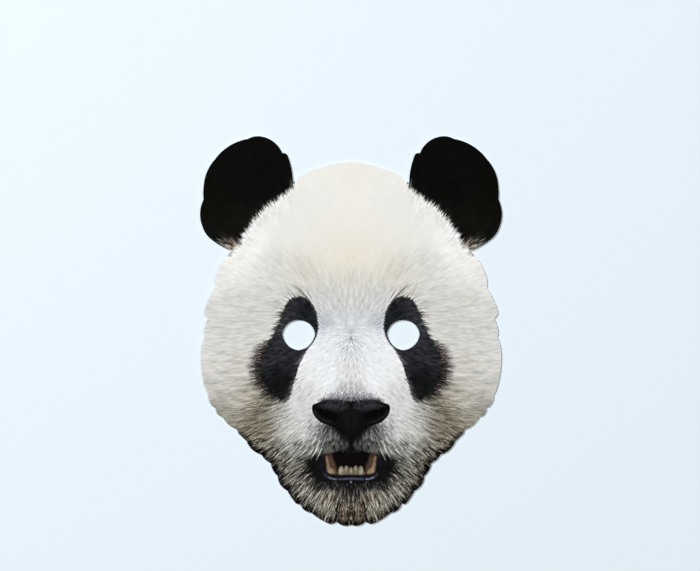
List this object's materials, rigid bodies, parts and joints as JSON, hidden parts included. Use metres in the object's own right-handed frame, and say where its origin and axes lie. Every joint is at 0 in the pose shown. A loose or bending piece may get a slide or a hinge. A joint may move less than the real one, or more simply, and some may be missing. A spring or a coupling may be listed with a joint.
{
  "type": "flat paper animal mask",
  "caption": "Flat die-cut card face mask of a panda with round ears, furry scalloped edge and two eye holes.",
  "frame": {"origin": "middle of the mask's outline, on the back of the card, which the mask lies on", "axes": "+Z out of the printed face, +Y up the face towards the ears, +X towards the right of the face as it is looked at"},
  "size_m": [0.2, 0.2582, 0.001],
  "materials": {
    "printed_card": "smooth white card, printed in full colour on the front"
  },
  "bodies": {
    "root": {"mask_card": "printed_card"}
  },
  "joints": []
}
